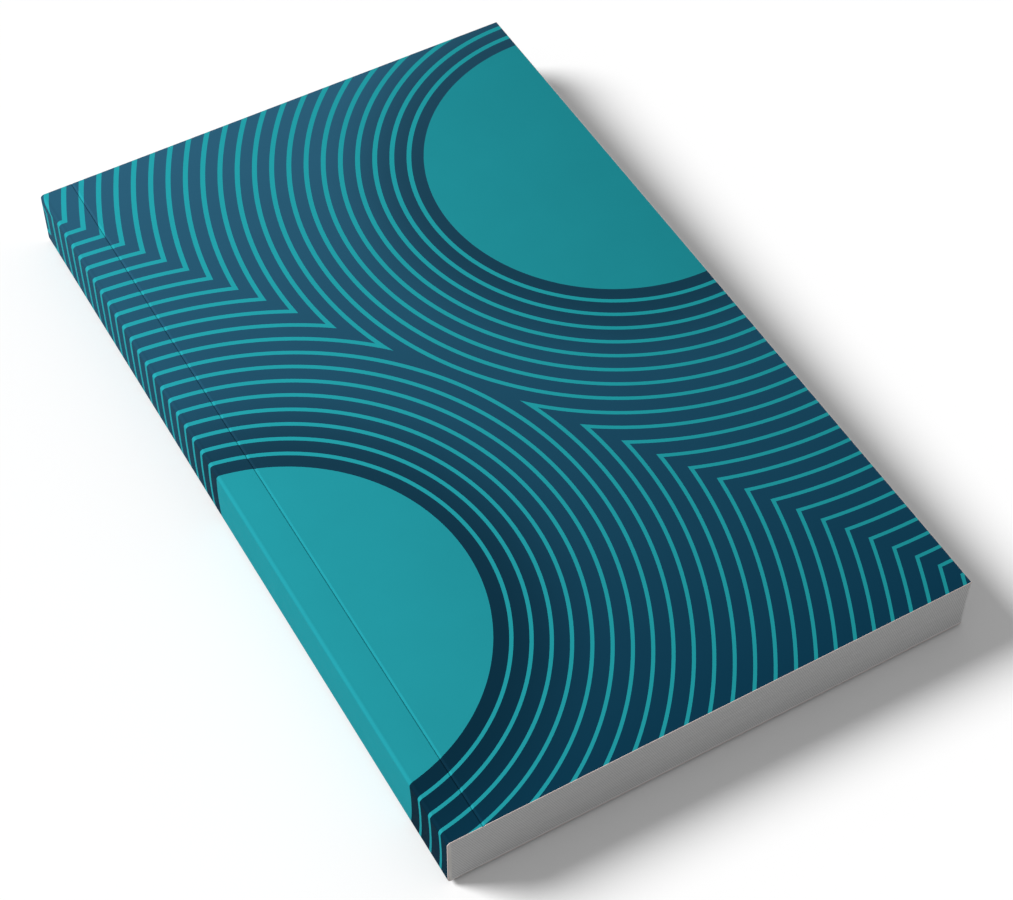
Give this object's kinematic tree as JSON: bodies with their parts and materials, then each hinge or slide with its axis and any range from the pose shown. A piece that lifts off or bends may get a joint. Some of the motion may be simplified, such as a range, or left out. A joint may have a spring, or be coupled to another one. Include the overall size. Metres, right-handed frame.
{
  "type": "paperback book",
  "caption": "Perfect-bound paperback: a block of leaves glued into a scored card cover whose front and back covers open flat.",
  "frame": {"origin": "middle of the underside: the centre of the back cover's outer face, with the book closed", "axes": "+X from the spine to the fore-edge, +Y from the tail to the head, +Z from the back cover to the front cover"},
  "size_m": [0.127, 0.2032, 0.0153],
  "materials": {
    "printed_card": "satin laminate over teal and navy print, white uncoated inside",
    "book_paper": "uncoated, guillotine-cut edges",
    "hot_melt": "matt, slightly waxy"
  },
  "bodies": {
    "block": {"page_block": "book_paper", "spine_adhesive": "hot_melt", "spine_cover": "printed_card"},
    "front": {"front_cover": "printed_card"},
    "back": {"back_cover": "printed_card"}
  },
  "joints": [
    {"name": "front_cover_hinge", "type": "hinge", "parent": "block", "child": "front", "pos_m": [-0.0553, 0, 0.01535], "axis": [0, -1, 0], "range_deg": [0, 179.9]},
    {"name": "back_cover_hinge", "type": "hinge", "parent": "block", "child": "back", "pos_m": [-0.0553, 0, -0.00005], "axis": [0, 1, 0], "range_deg": [0, 179.9]}
  ]
}
